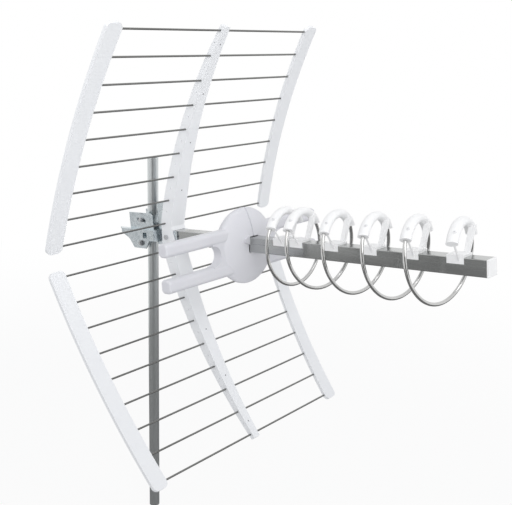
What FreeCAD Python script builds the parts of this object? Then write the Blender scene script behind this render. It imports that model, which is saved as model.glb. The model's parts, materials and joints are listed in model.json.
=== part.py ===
# UHF television antenna on a short mast.
# The antenna is drawn level in its own frame: +X is the forward direction along the boom,
# Z = 0 is the middle of the boom and of the two reflector panels, Y = 0 is the symmetry plane.
# At the end every piece is turned about the tilt pivot, so that the mast stands along +Z.
# Row frame: origin at the centre of the mast's foot, +X forward, +Z up. Millimetres.
import FreeCAD, Part
import math
import os

V = FreeCAD.Vector

# Mast and its clamp
mast_d = 25.0
mast_wall = 2.0
mast_below_clamp = 728.0
mast_above_clamp = 180.0
mast_gap = 0.3
tilt_rest_deg = 7.7
tilt_travel_deg = 12.0
pivot_u = -10.0
pivot_z = -20.0
lock_radius = 56.0
pivot_to_origin_x = -372.5
pivot_to_origin_z = -18.5
sheet = 2.5
bend_round = 2.0
plate_gap = 0.3
bolt_d = 6.0
bolt_clearance = 0.05
slot_clearance = 0.3
hex_across = 10.0
hex_height = 4.0
washer_d = 13.0
washer_t = 1.2
u_bolt_heights = (0.0, 22.0)
bracket_half_width = 23.7
bracket_rear = 38.0
bracket_top = 48.0
bracket_step = -14.0
bracket_bottom = -30.0
bracket_foot = 3.0
bracket_foot_rear = 25.0
window_size = 13.0
window_u = 3.0
window_z = 3.0

# Tilt bracket that carries the boom
band_rear = -444.0
band_front = -315.0
flange_z = 16.0
flange_out = 38.0
skirt_back = -427.0
skirt_mid = -398.0
skirt_step = 6.0
skirt_low = -8.0
cheek_rear = -414.0
cheek_mid = -12.0
cheek_foot_rear = -400.0
cheek_bottom = -31.0
cheek_foot_front = -358.0
cheek_front = -345.0
ear_rear = -407.0
ear_front = -325.0
ear_top = 53.0
ear_round = 14.0
tooth_count = 5
tooth_depth = 3.5
tab_front = -258.0
tab_top = 78.0
tab_bottom = -38.0
tab_strip = 32.0
tab_step_x = -279.0
band_window_x = -345.0
band_window_z = 3.0

# Boom
boom_w = 30.0
boom_h = 30.0
boom_wall = 1.8
boom_rear = -306.0
boom_lead = 51.0
boom_round = 1.2
groove_z = 3.5
groove_w = 2.4
groove_depth = 0.7
cap_t = 4.0
cap_plug = 10.0
fit_gap = 0.1

# Reflector panels: the rods lie on an arc in the XZ plane
rod_d = 4.0
rod_count = 9
rod_pitch = 56.5
panel_root_x = -291.0
panel_root_z = 31.0
panel_lean_deg = 18.4
panel_arc_r = 1450.0
panel_half_width = 300.0
panel_taper = 0.096
rail_w = 36.0
rail_t = 8.0
rail_end = 13.0
rod_in_rail = 14.0
rod_gap = 0.05

# Ribs: moulded channels, web to the front
rib_half_root = 20.5
rib_half_tip = 8.5
rib_wall = 2.5
rib_front_root = 20.0
rib_front_mid = 8.5
rib_front_tip = 6.0
rib_rear_root = 13.0
rib_rear_mid = 17.0
rib_rear_tip = 5.0
rib_tip = 11.0
rib_hole_d = 3.0
lug_front = -262.0
lug_rear = -306.0
rib_bolt_x = -290.0
lower_bolt_z = -22.0

# Dipole housing
house_z = -5.0
house_r = 80.0
house_rear = -92.0
house_rear_r = 54.0
house_split = -68.0
house_rim = -66.5
house_front = -41.0
dome_r = 165.0
house_wall = 2.5
rim_round = 5.0
arm_drop = -4.6
arm_offset = 35.0
arm_h = 27.0
arm_depth = 25.0
arm_round = 8.5
arm_end = 227.0
arm_end_round = 4.0
crotch_y = 82.0
web_inset = 2.0
seam_w = 5.0
seam_depth = 2.0
catch_front = -38.0
catch_out = 29.0
catch_low = 1.0
catch_top = 20.0
catch_taper = 6.0
catch_round = 3.0
boom_relief = 1.2
strip_t = 1.5
strip_w = 9.0
board_t = 1.6
board_half = 30.0
board_low = 19.0
board_h = 26.0
post_d = 6.0
post_near_y = 45.0
post_near_z = 20.0
post_far_y = 195.0
connector_d = 9.5
connector_len = 12.0
connector_y = -33.0
connector_z = -50.0
connector_boss_d = 18.0
connector_boss_h = 2.0
connector_hex = 13.0
connector_hex_t = 2.5
connector_bore_d = 4.8

# Helical directors
helix_r = 73.0
helix_pitch = 85.0
tube_d = 7.0
first_bracket_x = 87.0
full_turns = 4
boom_front = first_bracket_x + full_turns * helix_pitch + boom_lead
near_deg = 39.0
far_deg = 31.0
tube_in_sleeve = 14.0
sleeve_w = 21.0
sleeve_t = 16.0
sleeve_slant = 0.5
notch_len = 32.0
notch_depth = 11.0
notch_shift = -5.0
foot_h = 4.0
leg_w = 6.0
leg_t = 9.0
leg_low_y = 8.0
leg_top_y = 36.0
leg_shift = 2.0
leg_spread = 1.0
leg_reach = 0.85
strut_t = 3.5
strut_shift = 0.5
strut_z = 8.0

os.makedirs("parts", exist_ok=True)


def box(x0, x1, y0, y1, z0, z1):
    return Part.makeBox(x1 - x0, y1 - y0, z1 - z0, V(x0, y0, z0))


def rod(radius, start, end):
    line = V(*end) - V(*start)
    return Part.makeCylinder(radius, line.Length, V(*start), line)


def plate(points, y0, y1):
    """Closed XZ outline of straight edges, extruded from y0 to y1."""
    corners = [V(x, y0, z) for x, z in points]
    wire = Part.makePolygon(corners + [corners[0]])
    return Part.Face(wire).extrude(V(0, y1 - y0, 0))


def hexagon(across, height, start, direction):
    radius = across / math.sqrt(3.0)
    corners = [V(radius * math.cos(math.radians(60 * k)), radius * math.sin(math.radians(60 * k)), 0)
               for k in range(6)]
    prism = Part.Face(Part.makePolygon(corners + [corners[0]])).extrude(V(0, 0, height))
    prism.Placement = FreeCAD.Placement(V(*start), FreeCAD.Rotation(V(0, 0, 1), V(*direction)))
    return prism


def fuse(shapes):
    whole = shapes[0]
    if len(shapes) > 1:
        whole = whole.fuse(shapes[1:])
    return whole.removeSplitter()


def mirror_z(shape):
    return shape.mirror(V(0, 0, 0), V(0, 0, 1))


def mirror_y(shape):
    return shape.mirror(V(0, 0, 0), V(0, 1, 0))


def edges_where(shape, test):
    return [edge for edge in shape.Edges if test(edge)]


# Places on the rod arc
lean = math.radians(panel_lean_deg)
arc_x = panel_root_x + panel_arc_r * math.cos(lean)
arc_z = panel_root_z - panel_arc_r * math.sin(lean)
panel_length = rod_pitch * (rod_count - 1)


def on_arc(s, offset=0.0):
    """Point at arc length s from the root rod, moved forward by offset."""
    angle = lean + s / panel_arc_r
    radius = panel_arc_r - offset
    return arc_x - radius * math.cos(angle), arc_z + radius * math.sin(angle)


def rail_inner_y(z):
    return panel_half_width - panel_taper * abs(z)


def arc_edge(a, b, c, y=0.0):
    return Part.Arc(V(a[0], y, a[1]), V(b[0], y, b[1]), V(c[0], y, c[1])).toShape()


def line_edge(a, b, y=0.0):
    return Part.LineSegment(V(a[0], y, a[1]), V(b[0], y, b[1])).toShape()


def reflector_rods():
    rods = []
    for k in range(rod_count):
        x, z = on_arc(k * rod_pitch)
        reach = rail_inner_y(z) + rod_in_rail
        rods.append(rod(rod_d / 2, (x, -reach, z), (x, reach, z)))
    return rods


def rail():
    """Upper rail on the +Y side: a curved flat bar that takes the rods in its inner edge."""
    s0 = -rail_end
    s1 = panel_length + rail_end
    sm = (s0 + s1) / 2
    half = rail_t / 2
    front = [on_arc(s, half) for s in (s0, sm, s1)]
    rear = [on_arc(s, -half) for s in (s0, sm, s1)]
    low_y = panel_half_width - 3 * rail_w
    wire = Part.Wire([arc_edge(*front, y=low_y), line_edge(front[2], rear[2], low_y),
                      arc_edge(rear[2], rear[1], rear[0], low_y), line_edge(rear[0], front[0], low_y)])
    band = Part.Face(wire).extrude(V(0, 5 * rail_w, 0))
    z0 = on_arc(s0)[1]
    z1 = on_arc(s1)[1]
    y0 = rail_inner_y(z0)
    y1 = rail_inner_y(z1)
    corners = [V(-2000, y0, z0 - rail_t), V(-2000, y1, z1 + rail_t),
               V(-2000, y1 + rail_w, z1 + rail_t), V(-2000, y0 + rail_w, z0 - rail_t)]
    plan = Part.Face(Part.makePolygon(corners + [corners[0]])).extrude(V(4000, 0, 0))
    body = band.common(plan)
    across = edges_where(body, lambda e: abs(e.Length - rail_t) < 0.5
                         and e.Curve.TypeId == "Part::GeomLine")
    body = body.makeFillet(rail_w / 3, across)
    holes = []
    for k in range(rod_count):
        x, z = on_arc(k * rod_pitch)
        y = rail_inner_y(z)
        holes.append(rod(rod_d / 2 + rod_gap, (x, y - rail_w, z), (x, y + rod_in_rail, z)))
    return body.cut(holes)


def rib(upper):
    """Upper rib: a tapering channel with its web to the front and two lugs at the boom."""
    s1 = panel_length + rib_tip
    sm = panel_length / 2
    lug_low = -boom_h / 2 if upper else boom_h / 2 + plate_gap
    web_low = boom_h / 2 + plate_gap

    def side(inset):
        front = [on_arc(0, rib_front_root - inset), on_arc(sm, rib_front_mid - inset),
                 on_arc(s1, rib_front_tip - inset)]
        rear = [on_arc(0, -rib_rear_root), on_arc(sm, -rib_rear_mid), on_arc(s1, -rib_rear_tip)]
        low_front = (lug_front, lug_low)
        low_rear = (lug_rear, lug_low)
        edges = [line_edge(low_front, front[0], -60), arc_edge(*front, y=-60),
                 line_edge(front[2], rear[2], -60), arc_edge(rear[2], rear[1], rear[0], -60),
                 line_edge(rear[0], low_rear, -60), line_edge(low_rear, low_front, -60)]
        return Part.Face(Part.Wire(edges)).extrude(V(0, 120, 0))

    def plan(inset, top_inset):
        z0 = -boom_h
        z1 = on_arc(s1, rib_front_tip)[1] - top_inset + rib_tip
        corners = [V(-1000, -rib_half_root + inset, z0), V(-1000, rib_half_root - inset, z0),
                   V(-1000, rib_half_root - inset, tab_top), V(-1000, rib_half_tip - inset, z1),
                   V(-1000, -rib_half_tip + inset, z1), V(-1000, -rib_half_root + inset, tab_top)]
        return Part.Face(Part.makePolygon(corners + [corners[0]])).extrude(V(2000, 0, 0))

    body = side(0).common(plan(0, 0))
    hollow = side(rib_wall).common(plan(rib_wall, rib_wall + rib_tip))
    body = body.cut(hollow)
    inner_y = rib_half_root - rib_wall
    body = body.cut(box(lug_rear - 50, lug_front + 60, -inner_y, inner_y, -2 * boom_h, web_low))
    cutters = []
    for k in range(rod_count):
        x, z = on_arc(k * rod_pitch)
        cutters.append(rod(rod_d / 2 + rod_gap, (x, -60, z), (x, 60, z)))
    for k in range(rod_count - 1):
        x, z = on_arc((k + 0.5) * rod_pitch, -2.0)
        cutters.append(rod(rib_hole_d / 2, (x, -60, z), (x, 60, z)))
    bolt_z = 0.0 if upper else -lower_bolt_z
    cutters.append(rod(bolt_d / 2 + bolt_clearance, (rib_bolt_x, -60, bolt_z), (rib_bolt_x, 60, bolt_z)))
    return body.cut(cutters)


def boom():
    outer = box(boom_rear, boom_front, -boom_w / 2, boom_w / 2, -boom_h / 2, boom_h / 2)
    long_edges = edges_where(outer, lambda e: e.Length > boom_front - boom_rear - 1)
    outer = outer.makeFillet(boom_round, long_edges)
    inner_w = boom_w / 2 - boom_wall
    inner_h = boom_h / 2 - boom_wall
    outer = outer.cut(box(boom_rear - 1, boom_front + 1, -inner_w, inner_w, -inner_h, inner_h))
    cutters = [box(x + notch_shift - notch_len / 2, x + notch_shift + notch_len / 2, -boom_w, boom_w,
                   boom_h / 2 - notch_depth, boom_h) for x in bracket_places()]
    for side in (-1, 1):
        y = side * boom_w / 2
        cutters.append(box(boom_rear - 1, boom_front + 1, y - groove_depth, y + groove_depth,
                           groove_z - groove_w / 2, groove_z + groove_w / 2))
    cutters.append(rod(bolt_d / 2 + bolt_clearance, (rib_bolt_x, -60, 0), (rib_bolt_x, 60, 0)))
    return outer.cut(cutters)


def boom_cap(front):
    inner_w = boom_w / 2 - boom_wall - fit_gap
    inner_h = boom_h / 2 - boom_wall - fit_gap
    cap = box(0, cap_t, -boom_w / 2, boom_w / 2, -boom_h / 2, boom_h / 2)
    cap = cap.makeFillet(1.5, edges_where(cap, lambda e: e.CenterOfMass.x > cap_t - 0.1))
    plug = box(-cap_plug, 0, -inner_w, inner_w, -inner_h, inner_h)
    plug = plug.cut(box(-cap_plug - 1, -1, -inner_w + 2, inner_w - 2, -inner_h + 2, inner_h - 2))
    cap = cap.fuse(plug).removeSplitter()
    if front:
        cap.translate(V(boom_front, 0, 0))
        return cap
    cap = cap.mirror(V(0, 0, 0), V(1, 0, 0))
    cap.translate(V(boom_rear, 0, 0))
    return cap


def bracket_places():
    places = [first_bracket_x - helix_pitch / 2]
    for k in range(full_turns + 1):
        places.append(first_bracket_x + k * helix_pitch)
    return places


def helix_point(x_top, angle_deg, radius=helix_r):
    """Point on the helix that crosses the top at x_top; 0 is the near side, 90 the bottom,
    180 the far side and 270 the top."""
    a = math.radians(angle_deg)
    x = x_top + helix_pitch * (angle_deg - 270.0) / 360.0
    return V(x, -radius * math.cos(a), -radius * math.sin(a))


def helix_run(start, start_deg, end_deg, advance, half_u, half_v):
    """Sweep of an oval along a right-handed helix about the boom; half_u lies along X."""
    turns = (end_deg - start_deg) / 360.0
    spine = Part.makeHelix(advance / turns, advance, helix_r)
    centre = V(helix_r, 0, 0)
    slope = math.atan2(advance / turns, 2 * math.pi * helix_r)
    tangent = V(0, math.cos(slope), math.sin(slope))
    across = V(0, -math.sin(slope), math.cos(slope))
    if abs(half_u - half_v) < 0.001:
        oval = Part.Circle(centre, tangent, half_u).toShape()
    else:
        oval = Part.Ellipse(centre + across * half_u, centre + V(half_v, 0, 0), centre).toShape()
    pipe = Part.Wire(spine.Edges).makePipeShell([Part.Wire(oval)], True, True)
    a = math.radians(start_deg)
    c = math.cos(a)
    d = math.sin(a)
    pipe = pipe.transformGeometry(FreeCAD.Matrix(0, 0, 1, start.x, -c, d, 0, 0, -d, -c, 0, 0, 0, 0, 0, 1))
    return pipe


def director_path(index, radius):
    """One loop: from the near end of a sleeve, under the boom, into the next sleeve's far end."""
    places = bracket_places()
    into = math.degrees(tube_in_sleeve / helix_r)
    start_deg = -near_deg - into
    end_deg = 180 + far_deg + into
    start = helix_point(places[index], start_deg + 360)
    finish = helix_point(places[index + 1], end_deg)
    return helix_run(start, start_deg, end_deg, finish.x - start.x, radius, radius)


def far_end_cut(end):
    """Slanting cut across a sleeve's far end, which leaves its outer wall the longer one."""
    inward = V(0, -end.y, -end.z)
    inward.normalize()
    along = V(0, -inward.z, inward.y)
    block = box(-sleeve_w, sleeve_w, -sleeve_w, sleeve_w, 0, sleeve_w)
    block.Placement = FreeCAD.Placement(end - inward * (sleeve_t / 2),
                                        FreeCAD.Rotation(V(0, 0, 1), along + inward * sleeve_slant))
    return block


def rectangle(x, y, z, half_x, half_y):
    corners = [V(x - half_x, y - half_y, z), V(x + half_x, y - half_y, z),
               V(x + half_x, y + half_y, z), V(x - half_x, y + half_y, z)]
    return Part.makePolygon(corners + [corners[0]])


def director_bracket(index):
    """Moulded sleeve over the boom, on a foot that fills the boom's notch."""
    places = bracket_places()
    x = places[index]
    start = helix_point(x, 180 + far_deg)
    finish = helix_point(x, 360 - near_deg)
    sleeve = helix_run(start, 180 + far_deg, 360 - near_deg, finish.x - start.x, sleeve_w / 2, sleeve_t / 2)
    foot_x = x + notch_shift
    half = notch_len / 2 - fit_gap
    floor = boom_h / 2 - notch_depth
    foot = box(foot_x - half, foot_x + half, -boom_w / 2, boom_w / 2, floor, boom_h / 2 + foot_h)
    leg_x = x + leg_shift
    leg_foot = rectangle(leg_x, leg_low_y, floor + 2, leg_t / 2, leg_w / 2)
    leg_head = rectangle(leg_x, leg_top_y, helix_r * leg_reach,
                         leg_t / 2 + leg_spread, leg_w / 2 + leg_spread)
    leg = Part.makeLoft([leg_foot, leg_head], True)
    inner = helix_point(x, 360 - near_deg - 5, helix_r - sleeve_t / 3)
    strut = rod(strut_t / 2, (x + strut_shift, strut_t - boom_w / 2, strut_z), (inner.x, inner.y, inner.z))
    body = sleeve.fuse([foot, leg, strut])
    cutters = [far_end_cut(start)]
    if index > 0:
        cutters.append(director_path(index - 1, tube_d / 2 + rod_gap))
    if index < len(places) - 1:
        cutters.append(director_path(index, tube_d / 2 + rod_gap))
    return body.cut(cutters)


def dome_x(r, front):
    """Place along X of the domed front face at a radius from its centre."""
    return front - dome_r + math.sqrt(dome_r ** 2 - r ** 2)


def housing_form(inset):
    """Closed outer form of the dipole housing, or of its cavity when inset is the wall."""
    r = house_r - inset
    rear = house_rear + inset
    front = house_front - inset
    dome_edge = r - rim_round
    rear_edge = house_rear_r - inset
    shoulder = (rear * 0.7 + house_split * 0.3, rear_edge * 0.35 + r * 0.65)
    edges = [line_edge((rear, 0), (rear, rear_edge)),
             arc_edge((rear, rear_edge), shoulder, (house_split - 1, r)),
             line_edge((house_split - 1, r), (house_rim, r)),
             arc_edge((house_rim, r), ((house_rim + dome_x(dome_edge, front)) / 2 + 1, r - rim_round * 0.3),
                      (dome_x(dome_edge, front), dome_edge)),
             arc_edge((dome_x(dome_edge, front), dome_edge), (dome_x(r / 2, front), r / 2), (front, 0)),
             line_edge((front, 0), (rear, 0))]
    forms = [Part.Face(Part.Wire(edges)).revolve(V(0, 0, 0), V(1, 0, 0), 360)]
    x0 = house_split - arm_depth / 2 + inset
    x1 = house_split + arm_depth / 2 - inset
    half = arm_h / 2 - inset
    gap = arm_offset - arm_h / 2
    gap_end = crotch_y + gap
    arms = []
    for level in (-1, 1):
        z = arm_drop + level * arm_offset
        arm = box(x0, x1, 0, arm_end - inset, z - half, z + half)
        long_edges = edges_where(arm, lambda e: e.Length > arm_end - 2 * inset - 20)
        arm = arm.makeFillet(arm_round - inset, long_edges)
        if inset == 0:
            end_edges = edges_where(arm, lambda e: e.CenterOfMass.y > arm_end - 0.1)
            arm = arm.makeFillet(arm_end_round, end_edges)
        arms.append(arm)
    web = box(x0 + web_inset, x1 - web_inset, 0, gap_end, arm_drop - gap - 6, arm_drop + gap + 6)
    arms.append(web.cut(rod(gap + inset, (x0 - 5, gap_end, arm_drop), (x1 + 5, gap_end, arm_drop))))
    for arm in arms:
        forms.append(arm)
        forms.append(mirror_y(arm))
    form = fuse(forms)
    form.translate(V(0, 0, house_z))
    return form


def seam():
    """Groove down the dome's face from its top rim to the boom."""
    return box(house_rim - seam_depth, 0, -seam_w / 2, seam_w / 2, boom_h / 2 + 1, house_r + 20)


def housing_shells():
    outer = housing_form(0)
    sunk = outer.copy()
    sunk.translate(V(-seam_depth, 0, 0))
    outer = outer.cut(seam().cut(sunk))
    boss = along_socket(connector_boss_d / 2, house_rear - connector_boss_h, house_split - arm_depth / 2)
    outer = outer.fuse(boss)
    cavity = housing_form(house_wall)
    shell = outer.cut(cavity)
    loose = boom_w / 2 + boom_relief
    shell = shell.cut(box(house_split + arm_depth / 2, 0, -loose, loose, -loose, loose))
    shell = shell.fuse(catch().cut(cavity))
    hole = boom_w / 2 + fit_gap
    shell = shell.cut(box(-400, 400, -hole, hole, -hole, hole))
    rear = shell.common(box(-400, house_split, -400, 400, -400, 400))
    front = shell.common(box(house_split, 400, -400, 400, -400, 400))
    rear = rear.fuse(housing_posts())
    rear = rear.cut(along_socket(connector_d / 2 + rod_gap, house_rear - 5, 0))
    return rear, front.removeSplitter()


def catch():
    """Tongue of the front shell beside the boom."""
    x0 = (house_split + house_front) / 2
    corners = [V(x0, -boom_w / 2, catch_low), V(x0, -catch_out, catch_low + catch_taper),
               V(x0, -catch_out, catch_top - catch_taper), V(x0, -boom_w / 2, catch_top)]
    tongue = Part.Face(Part.makePolygon(corners + [corners[0]])).extrude(V(catch_front - x0, 0, 0))
    outer_edges = edges_where(tongue, lambda e: abs(e.CenterOfMass.y + catch_out) < 0.1
                              and e.Length > catch_front - x0 - 0.1)
    return tongue.makeFillet(catch_round, outer_edges)


def housing_posts():
    """Posts in the rear shell that carry the radiator's strips and the matching board."""
    posts = []
    arm_rear = house_split - arm_depth / 2 + house_wall / 2
    wall = house_rear + house_wall / 2
    centre = house_z + arm_drop
    for side in (-1, 1):
        for level in (-1, 1):
            y = side * post_far_y
            z = centre + level * arm_offset
            posts.append(rod(post_d / 2, (arm_rear, y, z), (house_split, y, z)))
            y = side * post_near_y
            z = centre + level * post_near_z
            posts.append(rod(post_d / 2, (wall, y, z), (house_split, y, z)))
            y = side * board_half * 0.8
            z = board_low + board_h / 2 + level * board_h / 3
            posts.append(rod(post_d / 2, (wall, y, z), (house_split - board_t, y, z)))
    return posts


def dipole_half():
    """Near half of the radiator: two flat strips joined beside the boom, with a tab to the board."""
    x0 = house_split
    x1 = x0 + strip_t
    centre = house_z + arm_drop
    half = strip_w / 2
    link = (-post_near_y - 7, -post_near_y + 7)
    parts = [box(x0, x1, *link, centre - arm_offset - half, centre + arm_offset + half),
             box(x0, x1, link[0], -board_half + 8, centre + arm_offset - half, centre + arm_offset + half)]
    for level in (-1, 1):
        z = centre + level * arm_offset
        parts.append(box(x0, x1, -arm_end + 12, link[1], z - half, z + half))
    return fuse(parts)


def balun_board():
    x1 = house_split
    return box(x1 - board_t, x1, -board_half, board_half, board_low, board_low + board_h)


def along_socket(radius, x0, x1):
    return rod(radius, (x0, connector_y, connector_z), (x1, connector_y, connector_z))


def connector():
    """Threaded aerial socket in the rear shell, with its hexagonal flange outside."""
    seat = house_rear - connector_boss_h
    barrel = along_socket(connector_d / 2, seat - connector_len, seat + connector_len)
    flange = hexagon(connector_hex, connector_hex_t, (seat, connector_y, connector_z), (-1, 0, 0))
    return barrel.fuse(flange).cut(along_socket(connector_bore_d / 2, seat - connector_len - 1, seat + 6))


def hex_bolt(start, direction, length, across=hex_across):
    """Bolt with its head's underside at start, shank along direction."""
    d = V(*direction)
    tip = V(*start) + d * length
    head = hexagon(across, hex_height, start, (-d.x, -d.y, -d.z))
    shank = rod(bolt_d / 2, start, (tip.x, tip.y, tip.z))
    return head.fuse(shank)


def nut(start, direction):
    d = V(*direction)
    body = hexagon(hex_across, hex_height, start, direction)
    far = V(*start) + d * (hex_height + 1)
    near = V(*start) - d
    return body.cut(rod(bolt_d / 2 + bolt_clearance, (near.x, near.y, near.z), (far.x, far.y, far.z)))


def mast():
    low = rod(mast_d / 2, (0, 0, 0), (0, 0, mast_below_clamp + mast_above_clamp))
    bore = rod(mast_d / 2 - mast_wall, (0, 0, -1), (0, 0, mast_below_clamp + mast_above_clamp + 1))
    return low.cut(bore)


def mast_bracket():
    """Bent steel clamp round the front and sides of the mast, in the clamp's own frame."""
    face = mast_d / 2 + mast_gap
    outer = bracket_half_width
    points = [(-bracket_rear, bracket_top), (face + sheet, bracket_top),
              (face + sheet, bracket_step), (bracket_foot, bracket_bottom),
              (-bracket_foot_rear, bracket_bottom), (-bracket_rear, bracket_step)]
    body = plate(points, -outer, outer)
    body = body.cut(box(-200, face, -outer + sheet, outer - sheet, -200, 200))
    bends = edges_where(body, lambda e: abs(e.CenterOfMass.x - face - sheet) < 0.01
                        and abs(abs(e.CenterOfMass.y) - outer) < 0.01 and e.Length > 20)
    body = body.makeFillet(bend_round, bends)
    leg_y = mast_d / 2 + mast_gap + bolt_d / 2
    cutters = []
    for z in u_bolt_heights:
        for side in (-1, 1):
            y = side * leg_y
            cutters.append(rod(bolt_d / 2 + bolt_clearance, (0, y, z), (face + 20, y, z)))
    for z in (pivot_z, pivot_z + lock_radius):
        cutters.append(rod(bolt_d / 2 + bolt_clearance, (pivot_u, -60, z), (pivot_u, 60, z)))
    cutters.append(box(window_u - window_size / 2, window_u + window_size / 2, -60, 60,
                       window_z - window_size / 2, window_z + window_size / 2))
    return body.cut(cutters)


def u_bolts():
    bolts = []
    r = mast_d / 2 + mast_gap + bolt_d / 2
    tip = mast_d / 2 + mast_gap + sheet + hex_height + 5
    for z in u_bolt_heights:
        bend = Part.makeTorus(r, bolt_d / 2, V(0, 0, z), V(0, 0, 1))
        bend = bend.common(box(-100, 0, -100, 100, z - 10, z + 10))
        legs = [rod(bolt_d / 2, (0, side * r, z), (tip, side * r, z)) for side in (-1, 1)]
        bolts.append(fuse([bend] + legs))
    return bolts


def u_bolt_nuts():
    r = mast_d / 2 + mast_gap + bolt_d / 2
    seat = mast_d / 2 + mast_gap + sheet
    return [nut((seat, side * r, z), (1, 0, 0)) for z in u_bolt_heights for side in (-1, 1)]


def stub_bolts(x, z):
    inner = bracket_half_width - sheet
    length = 2 * sheet + plate_gap + washer_t + hex_height + 2
    return [hex_bolt((x, side * inner, z), (0, side, 0), length) for side in (-1, 1)]


def stub_nuts(x, z):
    seat = bracket_half_width + plate_gap + sheet
    nuts = []
    for side in (-1, 1):
        washer = rod(washer_d / 2, (x, side * seat, z), (x, side * (seat + washer_t), z))
        washer = washer.cut(rod(bolt_d / 2 + bolt_clearance, (x, -60, z), (x, 60, z)))
        nuts.append(washer.fuse(nut((x, side * (seat + washer_t), z), (0, side, 0))).removeSplitter())
    return nuts


def slot(cx, cz, radius, half_deg, mid_deg, half_width):
    """Arc slot cutter about a centre, in the XZ plane."""
    def at(r, deg):
        a = math.radians(deg)
        return cx + r * math.cos(a), cz + r * math.sin(a)
    r0 = radius - half_width
    r1 = radius + half_width
    a0 = mid_deg - half_deg
    a1 = mid_deg + half_deg
    end0 = at(radius, a0)
    end1 = at(radius, a1)
    inner = arc_edge(at(r0, a0), at(r0, mid_deg), at(r0, a1), -60)
    outer = arc_edge(at(r1, a1), at(r1, mid_deg), at(r1, a0), -60)
    wire = Part.Wire([inner, line_edge(at(r0, a1), at(r1, a1), -60),
                      outer, line_edge(at(r1, a0), at(r0, a0), -60)])
    body = Part.Face(wire).extrude(V(0, 120, 0))
    ends = [rod(half_width, (p[0], -60, p[1]), (p[0], 60, p[1])) for p in (end0, end1)]
    return body.fuse(ends)


def tilt_bracket():
    """Steel carrier of the boom, in the antenna's frame: two slotted side plates with the pivot,
    a flange and skirt outside each, and tabs beside the boom."""
    plate_out = bracket_half_width + plate_gap + sheet
    plate_in = plate_out - sheet
    cheek = plate([(band_rear, flange_z), (band_rear, flange_z - sheet), (cheek_rear, cheek_mid),
                   (cheek_foot_rear, cheek_bottom), (cheek_foot_front, cheek_bottom),
                   (cheek_front, cheek_mid), (band_front, cheek_mid), (band_front, flange_z)],
                  -plate_out, plate_out)
    ear = plate([(ear_rear, flange_z - 1), (ear_front, flange_z - 1),
                 (ear_front, ear_top), (ear_rear, ear_top)], -plate_out, plate_out)
    ear = ear.makeFillet(ear_round, edges_where(ear, lambda e: abs(e.CenterOfMass.z - ear_top) < 0.1 and
                                                abs(e.CenterOfMass.x - ear_front) < 0.1))
    sides = cheek.fuse(ear)
    sides = sides.cut(box(-1000, band_front - sheet, -plate_in, plate_in, -200, 200))
    flange = flange_outline(flange_z - sheet, flange_z)
    flange = flange.cut(box(-1000, band_front - sheet, -plate_in, plate_in, -200, 200))
    skirt = plate([(skirt_back, flange_z - 1), (skirt_back, skirt_step), (skirt_mid, skirt_low),
                   (band_front, skirt_low), (band_front, flange_z - 1)], -flange_out, flange_out)
    skirt = skirt.cut(box(-1000, band_front - sheet, sheet - flange_out, flange_out - sheet, -200, 200))
    web = box(band_front - sheet, band_front, -flange_out, flange_out, skirt_low, flange_z)
    tab_in = boom_w / 2
    tab_out = tab_in + sheet
    tabs = plate([(band_front - 1, tab_bottom), (tab_step_x, tab_bottom), (tab_step_x, -boom_h / 2),
                  (tab_front, -boom_h / 2), (tab_front, boom_h / 2), (band_front + tab_strip, boom_h / 2),
                  (band_front + tab_strip, tab_top), (band_front - 1, tab_top)], -tab_out, tab_out)
    tabs = tabs.cut(box(-1000, 1000, -tab_in, tab_in, -200, 200))
    body = fuse([sides, flange, skirt, web, tabs])
    cutters = teeth()
    cutters.append(rod(bolt_d / 2 + bolt_clearance, (pivot_to_origin_x, -60, pivot_to_origin_z),
                       (pivot_to_origin_x, 60, pivot_to_origin_z)))
    cutters.append(slot(pivot_to_origin_x, pivot_to_origin_z, lock_radius, tilt_travel_deg,
                        90 - tilt_rest_deg, bolt_d / 2 + slot_clearance))
    for z in (0.0, lower_bolt_z):
        cutters.append(rod(bolt_d / 2 + bolt_clearance, (rib_bolt_x, -60, z), (rib_bolt_x, 60, z)))
    for z in (-panel_root_z, panel_root_z):
        cutters.append(rod(rod_d / 2 + rod_gap, (panel_root_x, -60, z), (panel_root_x, 60, z)))
    half = window_size / 2
    cutters.append(box(band_window_x - half, band_window_x + half, -60, 60,
                       band_window_z - half, band_window_z + half))
    return body.cut(cutters)


def flange_outline(z0, z1):
    """Flat flange with its rear corners cut off, as wide as the skirts."""
    inner = bracket_half_width
    corners = [V(band_front, -flange_out, z0), V(band_front, flange_out, z0), V(skirt_back, flange_out, z0),
               V(band_rear, inner, z0), V(band_rear, -inner, z0), V(skirt_back, -flange_out, z0)]
    return Part.Face(Part.makePolygon(corners + [corners[0]])).extrude(V(0, 0, z1 - z0))


def teeth():
    """Saw teeth along the sloping rear edge of each skirt."""
    cutters = []
    slope = (skirt_low - skirt_step) / (skirt_mid - skirt_back)
    for k in range(tooth_count):
        x = skirt_back + (k + 0.5) * (skirt_mid - skirt_back) / tooth_count
        z = skirt_step + slope * (x - skirt_back)
        cutters.append(plate([(x - tooth_depth / 2, z - tooth_depth), (x, z + tooth_depth / 2),
                              (x + tooth_depth / 2, z - tooth_depth)], -60, 60))
    return cutters


def rib_bolts():
    """Through bolts with their nuts at the rib roots."""
    pieces = []
    seat = rib_half_root
    for z in (0.0, lower_bolt_z):
        pieces.append(hex_bolt((rib_bolt_x, -seat, z), (0, 1, 0), 2 * seat + hex_height + 2))
        pieces.append(nut((rib_bolt_x, seat, z), (0, 1, 0)))
    return pieces


def to_clamp_frame(shape):
    moved = shape.copy()
    moved.translate(V(0, 0, mast_below_clamp))
    return moved


def to_row_frame(shape):
    moved = shape.copy()
    moved.translate(V(-pivot_to_origin_x, 0, -pivot_to_origin_z))
    moved.rotate(V(0, 0, 0), V(0, 1, 0), -tilt_rest_deg)
    moved.translate(V(pivot_u, 0, pivot_z + mast_below_clamp))
    return moved


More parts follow.
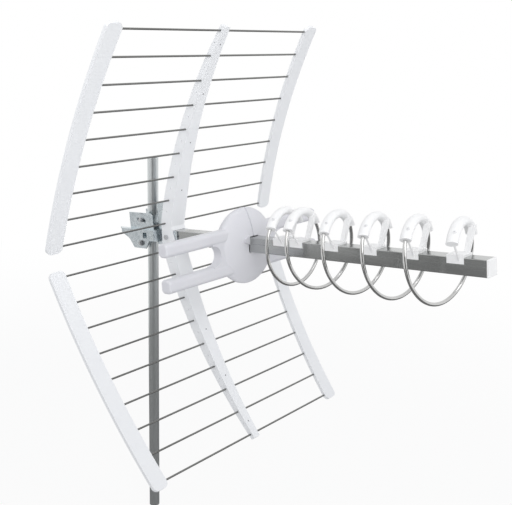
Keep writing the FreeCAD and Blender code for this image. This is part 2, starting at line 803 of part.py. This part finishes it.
def group(shapes):
    return shapes[0] if len(shapes) == 1 else Part.makeCompound(shapes)


def antenna_nodes():
    nodes = {"tilt_bracket": tilt_bracket(), "boom": boom(), "boom_front_cap": boom_cap(True),
             "boom_rear_cap": boom_cap(False), "upper_rib": rib(True), "lower_rib": mirror_z(rib(False)),
             "rib_bolts": group(rib_bolts())}
    far_rail = rail()
    nodes["upper_rail_left"] = far_rail
    nodes["upper_rail_right"] = mirror_y(far_rail)
    nodes["lower_rail_left"] = mirror_z(far_rail)
    nodes["lower_rail_right"] = mirror_z(mirror_y(far_rail))
    for k, piece in enumerate(reflector_rods()):
        nodes["upper_rod_%d" % (k + 1)] = piece
        nodes["lower_rod_%d" % (k + 1)] = mirror_z(piece)
    rear, front = housing_shells()
    nodes["housing_rear_shell"] = rear
    nodes["housing_front_shell"] = front
    nodes["dipole_right"] = dipole_half()
    nodes["dipole_left"] = mirror_y(dipole_half())
    nodes["matching_board"] = balun_board()
    nodes["aerial_socket"] = connector()
    for k in range(full_turns + 2):
        nodes["director_bracket_%d" % (k + 1)] = director_bracket(k)
    for k in range(full_turns + 1):
        nodes["director_loop_%d" % (k + 1)] = director_path(k, tube_d / 2)
    return nodes


def clamp_nodes():
    nodes = {"mast_bracket": mast_bracket(), "u_bolts": group(u_bolts()),
             "u_bolt_nuts": group(u_bolt_nuts())}
    for name, x, z in (("pivot", pivot_u, pivot_z), ("lock", pivot_u, pivot_z + lock_radius)):
        nodes[name + "_bolts"] = group(stub_bolts(x, z))
        nodes[name + "_nuts"] = group(stub_nuts(x, z))
    return nodes


def write(name, shape):
    shape.exportStep(os.path.join("parts", name + ".step"))


write("mast_tube", mast())
for node, piece in clamp_nodes().items():
    write(node, to_clamp_frame(piece))
for node, piece in antenna_nodes().items():
    write(node, to_row_frame(piece))
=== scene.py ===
import bpy
import json
import math
from mathutils import Matrix, Vector


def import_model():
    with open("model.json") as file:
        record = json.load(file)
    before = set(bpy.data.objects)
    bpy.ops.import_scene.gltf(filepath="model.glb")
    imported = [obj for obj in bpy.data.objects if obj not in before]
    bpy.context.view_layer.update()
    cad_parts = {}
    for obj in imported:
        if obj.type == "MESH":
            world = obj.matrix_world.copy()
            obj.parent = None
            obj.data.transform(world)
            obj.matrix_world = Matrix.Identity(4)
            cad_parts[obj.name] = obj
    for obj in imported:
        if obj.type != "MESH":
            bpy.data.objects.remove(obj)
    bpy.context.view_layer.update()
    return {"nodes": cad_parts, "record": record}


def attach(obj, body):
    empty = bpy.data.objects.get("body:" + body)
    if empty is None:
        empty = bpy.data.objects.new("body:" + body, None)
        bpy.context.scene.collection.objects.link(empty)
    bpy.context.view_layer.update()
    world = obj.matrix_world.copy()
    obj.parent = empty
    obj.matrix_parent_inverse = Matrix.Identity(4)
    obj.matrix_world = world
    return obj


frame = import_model()

# Camera at the photograph's viewing angle, metres in the shared frame
CAMERA_PLACE = Vector((1.3433, -1.1682, 1.2129))
CAMERA_FORWARD = Vector((-0.6313, 0.7216, -0.2842))
CAMERA_UP = Vector((-0.2123, 0.1916, 0.9582))
CAMERA_LENS = 54.98
CAMERA_SENSOR = 36.0
CAMERA_REACH = 100.0

# Even fill from all round
FILL_COLOUR = (0.975, 0.985, 1.0, 1.0)
FILL_STRENGTH = 0.79

# Soft key lamp high on the camera's right, and a weaker one above the camera, aimed at the upper panel
KEY_PLACE = Vector((1.90, -0.75, 2.35))
KEY_AIM = Vector((0.10, 0.0, 0.80))
KEY_SIZE = 1.2
KEY_RADIANCE = 2.6
KEY_SPREAD = 180
SIDE_PLACE = Vector((1.70, -1.70, 1.95))
SIDE_AIM = Vector((-0.10, 0.0, 1.35))
SIDE_SIZE = 1.4
SIDE_RADIANCE = 0.34
SIDE_SPREAD = 44

# Floor that fades into the white background between two distances from the mast
FLOOR_SIZE = 30.0
FLOOR_COLOUR = 0.82
FLOOR_WHITE = 0.88
FLOOR_FADE = (0.8, 2.6)

# Cards that only the metal shows: three at one or two heights above the floor, one behind the camera
CARD_HEIGHT = 0.002
RING_STEPS = 72
DARK_CARD_CENTRE = (0.0, -0.1)
DARK_CARD_RADIUS = 2.45
DARK_CARD_LEFT = -1.2
DARK_CARD_TONE = 0.21
LONG_CARD = ((-1.2, -3.6), (0.25, -1.5))
PALE_CARD = ((-3.2, -3.0), (-1.55, -0.8))
PALE_CARD_TONE = 0.55
BACK_CARD_DISTANCE = 0.6
BACK_CARD_HALF = (1.1, 1.5)
BACK_CARD_TONE = 0.14

# Depth of the surfaces' grain in metres, and the pattern of the zinc in cells per metre
GRAIN_DEPTH = 0.001
NOISE_ROUGHNESS = 0.55
ZINC_CELLS = 160.0
ZINC_CLOUDS = 30.0
ZINC_GRAIN = 700.0
ZINC_BUMP = 0.03

# Tilt of the antenna on the mast at rest, and the pivot that it tilts about, in metres
TILT = math.radians(7.7)
PIVOT = Vector((-0.010, 0.0, 0.708))

# Sizes and places below are millimetres in the antenna's level frame, unless a line says otherwise
MM = 1000
BOOM_TO_PIVOT = (372.5, 18.5)

# Round pieces, and how far a disc painted with shade stands proud of the face that it marks
LATHE_STEPS = 24
DISC_PROUD = 0.06

# Reflector: arc of the rods, and how far the rib's front stands before it at both ends and halfway
ARC_RADIUS = 1450.0
ARC_START = (-291.0, 31.0)
ARC_LEAN = math.radians(18.4)
ROD_PITCH = 56.5
RIB_FRONT = (20.0, 8.5, 6.0)
RIB_SPAN = 463.0
# Each hole in the ribs' front is a disc painted with the shade inside a hole
HOLE_GAPS = (1, 3, 5, 7)
HOLE_RADIUS = 1.5
HOLE_DEPTH = 0.5

# Directors: brackets along the boom and the screw in the flank of each
LOOP_PITCH = 85.0
LOOP_TURNS = 4
BRACKET_X = 87.0
SCREW_ANGLE = 307.0
SCREW_ZERO_ANGLE = 270
SCREW_FORWARD = 4.0
SCREW_OUT = 80.6
SCREW_RADIUS = 3.1
SCREW_HEIGHT = 1.3
SCREW_DEPTH = 2.0
SCREW_CROWN = ((0.6, 0.0), (0.2, 0.3), (0.0, 0.9))
# Each screw's recess is a flat cross painted with its shade, standing proud of the head
RECESS_LENGTH = 3.4
RECESS_WIDTH = 0.8
RECESS_PROUD = 0.03

# Scale marks on the tilt bracket, on an arc between two angles round the lock bolt
# Each mark is a disc painted with the shade inside a punched dot
LOCK_BOLT = (-365.0, 37.0)
EAR_FACE = 26.5
MARK_COUNT = 6
MARK_FIRST = 106
MARK_LAST = 36
MARK_RADIUS = 15.0
MARK_DOT = 0.9
MARK_DEPTH = 0.4
MARK_STEPS = 10

# Screw threads: ridges above the shank, with ends that reach into it
THREAD_PITCH = 1.0
THREAD_HEIGHT = 0.28
THREAD_FOOT = 0.02
THREAD_LEAD = 0.05
THREAD_SUNK = 0.3
BOLT_RADIUS = 3.0
BOLT_THREAD = 1.9
U_BOLT_THREAD = 4.6
RIB_BOLT_END = (-290.0, 24.5)
RIB_BOLT_HEIGHTS = (0.0, -22.0)
SOCKET_END = (-96.6, -33.0, -50.0)
SOCKET_RADIUS = 4.75
SOCKET_THREAD = 8.8

# Bolts of the clamp, metres in the shared frame
U_BOLT_END = 0.0193
U_BOLT_HALF = 0.0158
U_BOLT_HEIGHTS = (0.728, 0.750)
TILT_BOLT_END = 0.0317
TILT_BOLTS = (("pivot", PIVOT.z), ("lock", 0.764))

# Round on the boom's edges, millimetres
RIM_WIDTH = 0.5
RIM_STEPS = 2
RIM_ANGLE = 50


def camera():
    data = bpy.data.cameras.new("camera")
    data.sensor_width = CAMERA_SENSOR
    data.lens = CAMERA_LENS
    data.clip_end = CAMERA_REACH
    obj = bpy.data.objects.new("camera", data)
    bpy.context.collection.objects.link(obj)
    right = CAMERA_FORWARD.cross(CAMERA_UP).normalized()
    up = right.cross(CAMERA_FORWARD).normalized()
    turn = Matrix((right, up, -CAMERA_FORWARD.normalized())).transposed()
    obj.matrix_world = Matrix.Translation(CAMERA_PLACE) @ turn.to_4x4()
    bpy.context.scene.camera = obj


def lamp(name, place, aim, size, radiance, spread):
    """Square area lamp that the camera doesn't see."""
    data = bpy.data.lights.new(name, "AREA")
    data.shape = "SQUARE"
    data.size = size
    data.energy = radiance * math.pi * size * size
    data.spread = math.radians(spread)
    obj = bpy.data.objects.new(name, data)
    obj.location = place
    obj.rotation_euler = (aim - place).to_track_quat("-Z", "Y").to_euler()
    obj.visible_camera = False
    bpy.context.collection.objects.link(obj)
    return obj


def lights():
    """Two lamps; no metal shows the second."""
    lamp("key", KEY_PLACE, KEY_AIM, KEY_SIZE, KEY_RADIANCE, KEY_SPREAD)
    side = lamp("side", SIDE_PLACE, SIDE_AIM, SIDE_SIZE, SIDE_RADIANCE, SIDE_SPREAD)
    side.visible_glossy = False


class Nodes:
    """Short way to build a node tree: each call adds one node and fills its inputs.

    An input is given by its label, with underscores for spaces, or by the letter i and its index.
    """

    def __init__(self, tree):
        self.tree = tree
        tree.nodes.clear()

    def add(self, kind, settings=None, **inputs):
        node = self.tree.nodes.new(kind)
        for key, value in (settings or {}).items():
            setattr(node, key, value)
        for key, value in inputs.items():
            self.feed(node, key, value)
        return node

    def feed(self, node, key, value):
        by_index = key[0] == "i" and key[1:].isdigit()
        socket = node.inputs[int(key[1:]) if by_index else key.replace("_", " ")]
        if isinstance(value, bpy.types.NodeSocket):
            self.tree.links.new(value, socket)
        else:
            socket.default_value = value


def blank(name):
    """New material and its empty node tree."""
    material = bpy.data.materials.new(name)
    material.use_nodes = True
    return material, Nodes(material.node_tree)


def grey(value):
    return (value, value, value, 1.0)


def math_node(n, operation, a, b):
    return n.add("ShaderNodeMath", {"operation": operation}, i0=a, i1=b).outputs[0]


def shown(n):
    """1 for the rays that show the background: from the camera, through glass or off metal."""
    path = n.add("ShaderNodeLightPath").outputs
    seen = math_node(n, "MAXIMUM", path["Is Camera Ray"], path["Is Transmission Ray"])
    return math_node(n, "MAXIMUM", seen, path["Is Glossy Ray"])


def world():
    """Fill light for the surfaces, plain white where the background shows."""
    scene_world = bpy.data.worlds.new("studio")
    bpy.context.scene.world = scene_world
    scene_world.use_nodes = True
    n = Nodes(scene_world.node_tree)
    fill = n.add("ShaderNodeBackground", Color=FILL_COLOUR, Strength=FILL_STRENGTH)
    white = n.add("ShaderNodeBackground", Color=grey(1.0), Strength=1.0)
    both = n.add("ShaderNodeMixShader", Fac=shown(n), i1=fill.outputs[0], i2=white.outputs[0])
    n.add("ShaderNodeOutputWorld", Surface=both.outputs[0])


def mesh_object(name, points, faces, material):
    mesh = bpy.data.meshes.new(name)
    mesh.from_pydata(points, [], faces)
    mesh.materials.append(material)
    obj = bpy.data.objects.new(name, mesh)
    bpy.context.collection.objects.link(obj)
    return obj


def flat(name, points, material):
    """Flat sheet of one face, for the studio."""
    obj = mesh_object(name, points, [tuple(range(len(points)))], material)
    return obj


def rectangle(low, high):
    return (low[0], low[1]), (high[0], low[1]), (high[0], high[1]), (low[0], high[1])


def level(outline, height):
    """Points of a level outline at a height."""
    return [(x, y, height) for x, y in outline]


def floor():
    """Pale floor that takes shadows near the mast and turns white further out."""
    material, n = blank("floor")
    place = n.add("ShaderNodeTexCoord")
    distance = n.add("ShaderNodeVectorMath", {"operation": "LENGTH"}, i0=place.outputs["Object"])
    fade = n.add("ShaderNodeMapRange", {"interpolation_type": "SMOOTHSTEP"},
                 Value=distance.outputs["Value"], From_Min=FLOOR_FADE[0], From_Max=FLOOR_FADE[1],
                 To_Min=FLOOR_WHITE, To_Max=1.0)
    cloth = n.add("ShaderNodeBsdfDiffuse", Color=grey(FLOOR_COLOUR))
    glow = n.add("ShaderNodeEmission", Color=grey(1.0), Strength=1.0)
    share = math_node(n, "MULTIPLY", fade.outputs[0], shown(n))
    mix = n.add("ShaderNodeMixShader", Fac=share, i1=cloth.outputs[0], i2=glow.outputs[0])
    n.add("ShaderNodeOutputMaterial", Surface=mix.outputs[0])
    half = FLOOR_SIZE / 2
    flat("floor", level(rectangle((-half, -half), (half, half)), 0.0), material)


def card(name, points, value):
    """Card that only the metal shows."""
    material, n = blank(name)
    tone = n.add("ShaderNodeEmission", Color=grey(value), Strength=1.0)
    n.add("ShaderNodeOutputMaterial", Surface=tone.outputs[0])
    obj = flat(name, points, material)
    obj.visible_camera = False
    obj.visible_diffuse = False
    obj.visible_shadow = False


def cards():
    """Three cards on the floor, and a dark one that stands behind the camera."""
    ring = []
    for k in range(RING_STEPS):
        a = 2 * math.pi * k / RING_STEPS
        x = DARK_CARD_CENTRE[0] + DARK_CARD_RADIUS * math.cos(a)
        ring.append((max(x, DARK_CARD_LEFT), DARK_CARD_CENTRE[1] + DARK_CARD_RADIUS * math.sin(a)))
    card("dark_card", level(ring, CARD_HEIGHT), DARK_CARD_TONE)
    card("long_card", level(rectangle(*LONG_CARD), 2 * CARD_HEIGHT), DARK_CARD_TONE)
    card("pale_card", level(rectangle(*PALE_CARD), 2 * CARD_HEIGHT), PALE_CARD_TONE)
    centre = CAMERA_PLACE - CAMERA_FORWARD * BACK_CARD_DISTANCE
    side = CAMERA_FORWARD.cross(CAMERA_UP) * BACK_CARD_HALF[0]
    rise = CAMERA_UP * BACK_CARD_HALF[1]
    corners = [centre + side * u + rise * v for u, v in rectangle((-1, -1), (1, 1))]
    card("back_card", corners, BACK_CARD_TONE)


def tones(n, fac, dark, light):
    """Colour between two tones."""
    return n.add("ShaderNodeMix", {"data_type": "RGBA"}, i0=fac, i6=(*dark, 1.0),
                 i7=(*light, 1.0)).outputs[2]


def noise(n, vector, scale, detail=4.0):
    return n.add("ShaderNodeTexNoise", {"noise_dimensions": "3D"}, Vector=vector, Scale=scale,
                 Detail=detail, Roughness=NOISE_ROUGHNESS).outputs["Fac"]


def along(n, stretch=(1, 1, 1), turn=0.0):
    """Object coordinates, stretched and turned about the level cross axis."""
    place = n.add("ShaderNodeTexCoord")
    return n.add("ShaderNodeMapping", Vector=place.outputs["Object"], Rotation=(0.0, turn, 0.0),
                 Scale=stretch).outputs[0]


def between(n, fac, low, high):
    return n.add("ShaderNodeMapRange", Value=fac, To_Min=low, To_Max=high).outputs[0]


def shade(n, colour, metallic, roughness, bump, height):
    """Shader of a surface with a fine relief, joined to the material's output."""
    bumped = n.add("ShaderNodeBump", Strength=bump, Distance=GRAIN_DEPTH, Height=height)
    shader = n.add("ShaderNodeBsdfPrincipled", Base_Color=colour, Metallic=metallic,
                   Roughness=roughness, Normal=bumped.outputs[0])
    n.add("ShaderNodeOutputMaterial", Surface=shader.outputs[0])


def surface(name, dark, light, rough, metallic, scale, stretch=(1, 1, 1), turn=0.0, bump=0.02,
            grain=900.0):
    """Material with two tones, a varied roughness and a fine grain."""
    material, n = blank(name)
    vector = along(n, stretch, turn)
    cloud = noise(n, vector, scale)
    shade(n, tones(n, cloud, dark, light), metallic, between(n, cloud, *rough), bump,
          noise(n, vector, grain, 2.0))
    return material


def spangle(name, dark, light, rough):
    """Hot-dip zinc: faint crystals of slightly different tone and gloss."""
    material, n = blank(name)
    vector = along(n)
    cells = n.add("ShaderNodeTexVoronoi", {"feature": "F1"}, Vector=vector, Scale=ZINC_CELLS)
    tone = n.add("ShaderNodeSeparateColor", Color=cells.outputs["Color"]).outputs[0]
    fac = math_node(n, "MULTIPLY", tone, noise(n, vector, ZINC_CLOUDS))
    shade(n, tones(n, fac, dark, light), 1.0, between(n, tone, *rough), ZINC_BUMP,
          noise(n, vector, ZINC_GRAIN))
    return material


def plastics():
    """Mouldings and the board; the housing's and brackets' copies of the white carry painted shade and
    light.
    """
    return {
        "white_plastic": surface("white_plastic", (0.84, 0.85, 0.875), (0.88, 0.89, 0.905),
                                 rough=(0.36, 0.46), metallic=0.0, scale=14.0),
        # Darker, bluer copy of the white plastic: painted shade on the housing
        "housing_plastic_painted_shade": surface("housing_plastic_painted_shade", (0.655, 0.655, 0.70), (0.715, 0.715, 0.745),
                                   rough=(0.34, 0.44), metallic=0.0, scale=12.0),
        # Lighter copy of the white plastic: painted light on the director brackets and the boom_
        # pieces
        "bracket_plastic_painted_light": surface("bracket_plastic_painted_light", (0.88, 0.88, 0.885), (0.92, 0.92, 0.92),
                                   rough=(0.34, 0.44), metallic=0.0, scale=20.0),
        "board_laminate": surface("board_laminate", (0.10, 0.20, 0.10), (0.14, 0.26, 0.13),
                                  rough=(0.4, 0.5), metallic=0.0, scale=40.0),
    }


def metals():
    """Metals; boom, rods and mast have their pattern drawn out along their length."""
    return {
        "boom_aluminium": surface("boom_aluminium", (0.40, 0.41, 0.41), (0.52, 0.53, 0.52),
                                  rough=(0.16, 0.24), metallic=1.0, scale=40.0,
                                  stretch=(0.03, 1.0, 1.0), turn=TILT, bump=0.03, grain=700.0),
        "rod_aluminium": surface("rod_aluminium", (0.17, 0.17, 0.165), (0.27, 0.27, 0.265),
                                 rough=(0.24, 0.34), metallic=1.0, scale=30.0,
                                 stretch=(1.0, 0.05, 1.0)),
        "loop_aluminium": surface("loop_aluminium", (0.54, 0.54, 0.535), (0.66, 0.66, 0.655),
                                  rough=(0.07, 0.13), metallic=1.0, scale=25.0),
        "clamp_steel": spangle("clamp_steel", (0.60, 0.66, 0.69), (0.78, 0.82, 0.84),
                               rough=(0.22, 0.32)),
        "bolt_steel": surface("bolt_steel", (0.55, 0.56, 0.58), (0.70, 0.71, 0.72),
                              rough=(0.18, 0.30), metallic=1.0, scale=60.0),
        "mast_steel": surface("mast_steel", (0.60, 0.63, 0.63), (0.78, 0.81, 0.82),
                              rough=(0.32, 0.40), metallic=1.0, scale=90.0,
                              stretch=(1.0, 1.0, 0.04)),
        "socket_plating": surface("socket_plating", (0.70, 0.70, 0.68), (0.80, 0.80, 0.78),
                                  rough=(0.12, 0.2), metallic=1.0, scale=60.0),
        "screw_zinc": surface("screw_zinc", (0.80, 0.80, 0.81), (0.86, 0.86, 0.87),
                              rough=(0.3, 0.4), metallic=0.2, scale=60.0),
    }


def shadows():
    """Painted shade for the insides of the small holes and of the screws' recesses."""
    return {
        # Painted shade inside the holes and punched marks
        "hole_painted_shade": surface("hole_painted_shade", (0.10, 0.10, 0.11), (0.16, 0.16, 0.17),
                             rough=(0.6, 0.7), metallic=0.0, scale=60.0),
        # Painted shade inside the screws' cross recesses
        "recess_painted_shade": surface("recess_painted_shade", (0.52, 0.52, 0.53), (0.60, 0.60, 0.61),
                          rough=(0.5, 0.6), metallic=0.0, scale=60.0),
    }


def finish_of(part):
    """Name of a CAD node's material; housing nodes get painted shade, bracket and boom_ nodes painted
    light.
    """
    if part["node"].startswith("housing_"):
        return "housing_plastic_painted_shade"
    if part["node"].startswith(("director_bracket_", "boom_")):
        return "bracket_plastic_painted_light"
    return part["material_slot"]


def dress(made):
    """Give every CAD node its material."""
    for part in frame["record"]["subparts"]:
        obj = frame["nodes"][part["node"]]
        obj.data.materials.clear()
        obj.data.materials.append(made[finish_of(part)])


def tilted(x, y, z):
    """Place in the shared frame, in metres, of a point of the level antenna in millimetres."""
    across = x + BOOM_TO_PIVOT[0]
    height = z + BOOM_TO_PIVOT[1]
    turned = Vector((across * math.cos(TILT) - height * math.sin(TILT), y,
                     across * math.sin(TILT) + height * math.cos(TILT)))
    return PIVOT + turned / MM


def heading(x, y, z):
    """Direction in the shared frame of a direction in the level antenna."""
    return (tilted(x, y, z) - tilted(0, 0, 0)).normalized()


def hand(side):
    return "right" if side < 0 else "left"


def piece(name, points, faces, material, body):
    """Piece that rides on a body."""
    obj = mesh_object(name, points, faces, material)
    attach(obj, body)


def lathe(name, profile, place, axis, material, body, steps=LATHE_STEPS):
    """Round piece from pairs of a distance along its axis and a radius, in millimetres."""
    turn = Vector((0, 0, 1)).rotation_difference(axis).to_matrix()
    points = []
    for along_axis, radius in profile:
        for k in range(steps):
            a = 2 * math.pi * k / steps
            spot = Vector((radius * math.cos(a), radius * math.sin(a), along_axis))
            points.append(place + turn @ spot / MM)
    faces = []
    for j in range(len(profile) - 1):
        low = j * steps
        high = low + steps
        for k in range(steps):
            after = (k + 1) % steps
            faces.append((low + k, low + after, high + after, high + k))
    faces.append(tuple(reversed(range(steps))))
    faces.append(tuple((len(profile) - 1) * steps + k for k in range(steps)))
    piece(name, points, faces, material, body)


def disc(radius, depth):
    """Profile of a flat disc that is sunk into a face."""
    return (-depth, radius), (DISC_PROUD, radius)


def on_arc(s, forward):
    """Place and angle at a length s along the rods' arc, moved forward of it."""
    angle = ARC_LEAN + s / ARC_RADIUS
    centre_x = ARC_START[0] + ARC_RADIUS * math.cos(ARC_LEAN)
    centre_z = ARC_START[1] - ARC_RADIUS * math.sin(ARC_LEAN)
    radius = ARC_RADIUS - forward
    return centre_x - radius * math.cos(angle), centre_z + radius * math.sin(angle), angle


def rib_front(s):
    """How far the rib's web stands in front of the rods: a parabola through three places."""
    t = s / RIB_SPAN
    a, b, c = RIB_FRONT
    return a * (1 - 2 * t) * (1 - t) + 4 * b * t * (1 - t) - c * t * (1 - 2 * t)


def rib_holes(material):
    """Discs painted with a hole's shade down the front of both ribs, one in every second gap between
    the rods.
    """
    count = 0
    for gap in HOLE_GAPS:
        s = (gap + 0.5) * ROD_PITCH
        x, z, angle = on_arc(s, rib_front(s))
        for rise in (1, -1):
            count += 1
            lathe("rib_front_hole_painted_shade_%d" % count, disc(HOLE_RADIUS, HOLE_DEPTH), tilted(x, 0, rise * z),
                  heading(math.cos(angle), 0, -rise * math.sin(angle)), material, "antenna")


def bracket_places():
    """Places of the brackets along the boom; the rearmost is half a pitch behind the next."""
    even = [BRACKET_X + LOOP_PITCH * k for k in range(LOOP_TURNS + 1)]
    return [BRACKET_X - LOOP_PITCH / 2] + even


def bracket_screws(metal, dark):
    """Cross-recess screw in the near flank of each director bracket; the recess is a flat cross
    painted with its shade.
    """
    a = math.radians(SCREW_ANGLE)
    out = Vector((0, -math.cos(a), -math.sin(a)))
    seat = out * SCREW_OUT
    lead = LOOP_PITCH * (SCREW_ANGLE - SCREW_ZERO_ANGLE) / 360 + SCREW_FORWARD
    axis = heading(*out)
    side = heading(1, 0, 0)
    other = axis.cross(side)
    profile = [(-SCREW_DEPTH, SCREW_RADIUS)]
    for below, inset in SCREW_CROWN:
        profile.append((SCREW_HEIGHT - below, SCREW_RADIUS - inset))
    for k, x in enumerate(bracket_places()):
        place = tilted(x + lead, seat.y, seat.z)
        lathe("bracket_screw_%d" % (k + 1), profile, place, axis, metal, "antenna")
        top = place + axis * (SCREW_HEIGHT + RECESS_PROUD) / MM
        cross("screw_recess_painted_shade_%d" % (k + 1), top, side, other, dark)


def cross(name, centre, side, other, material):
    """Flat cross painted with the shade of a screw's recess."""
    half = RECESS_LENGTH / 2 / MM
    thin = RECESS_WIDTH / 2 / MM
    outline = ((thin, half), (-thin, half), (-thin, thin), (-half, thin), (-half, -thin),
               (-thin, -thin), (-thin, -half), (thin, -half), (thin, -thin), (half, -thin),
               (half, thin), (thin, thin))
    points = [centre + side * u + other * v for u, v in outline]
    piece(name, points, [tuple(range(len(points)))], material, "antenna")


def scale_marks(material):
    """Arc of punched marks round each lock bolt, each a disc painted with the shade inside it."""
    for side in (-1, 1):
        for k in range(MARK_COUNT):
            a = math.radians(MARK_FIRST + (MARK_LAST - MARK_FIRST) * k / (MARK_COUNT - 1))
            x = LOCK_BOLT[0] + MARK_RADIUS * math.cos(a)
            z = LOCK_BOLT[1] + MARK_RADIUS * math.sin(a)
            lathe("scale_mark_%s_%d" % (hand(side), k + 1), disc(MARK_DOT, MARK_DEPTH),
                  tilted(x, side * EAR_FACE, z), heading(0, side, 0), material, "antenna",
                  MARK_STEPS)


def thread(name, place, axis, length, radius, material, body):
    """Ridges of a screw thread over a plain shank's end."""
    profile = [(0.0, radius - THREAD_SUNK)]
    turns = int(length / THREAD_PITCH)
    for k in range(turns):
        start = k * length / turns
        profile.append((start + THREAD_LEAD, radius + THREAD_FOOT))
        profile.append((start + length / turns / 2, radius + THREAD_HEIGHT))
    profile.append((length, radius + THREAD_FOOT))
    profile.append((length, radius - THREAD_SUNK))
    lathe(name, profile, place, axis, material, body)


def clamp_threads(metal):
    """Threads that stand out of the nuts of the U-bolts and of the tilt's bolts."""
    for k, z in enumerate(U_BOLT_HEIGHTS):
        for side in (-1, 1):
            thread("u_bolt_thread_%d_%s" % (k + 1, hand(side)),
                   Vector((U_BOLT_END, side * U_BOLT_HALF, z)), Vector((1, 0, 0)), U_BOLT_THREAD,
                   BOLT_RADIUS, metal, "clamp")
    for label, z in TILT_BOLTS:
        for side in (-1, 1):
            thread("%s_bolt_thread_%s" % (label, hand(side)),
                   Vector((PIVOT.x, side * TILT_BOLT_END, z)), Vector((0, side, 0)), BOLT_THREAD,
                   BOLT_RADIUS, metal, "clamp")


def antenna_threads(metal, plating):
    """Threads of the ribs' bolts and of the aerial socket."""
    for k, z in enumerate(RIB_BOLT_HEIGHTS):
        thread("rib_bolt_thread_%d" % (k + 1), tilted(*RIB_BOLT_END, z), Vector((0, 1, 0)),
               BOLT_THREAD, BOLT_RADIUS, metal, "antenna")
    thread("socket_thread", tilted(*SOCKET_END), heading(-1, 0, 0), SOCKET_THREAD, SOCKET_RADIUS,
           plating, "antenna")


def soften(name):
    """Small round on the sharp edges of a CAD node."""
    bevel = frame["nodes"][name].modifiers.new("rim", "BEVEL")
    bevel.width = RIM_WIDTH / MM
    bevel.segments = RIM_STEPS
    bevel.limit_method = "ANGLE"
    bevel.angle_limit = math.radians(RIM_ANGLE)
    bevel.use_clamp_overlap = False
    bevel.harden_normals = False


camera()
lights()
world()
floor()
cards()
made = {**plastics(), **metals(), **shadows()}
dress(made)
rib_holes(made["hole_painted_shade"])
bracket_screws(made["screw_zinc"], made["recess_painted_shade"])
scale_marks(made["hole_painted_shade"])
clamp_threads(made["bolt_steel"])
antenna_threads(made["bolt_steel"], made["socket_plating"])
soften("boom")

bpy.context.scene.view_settings.view_transform = "Standard"
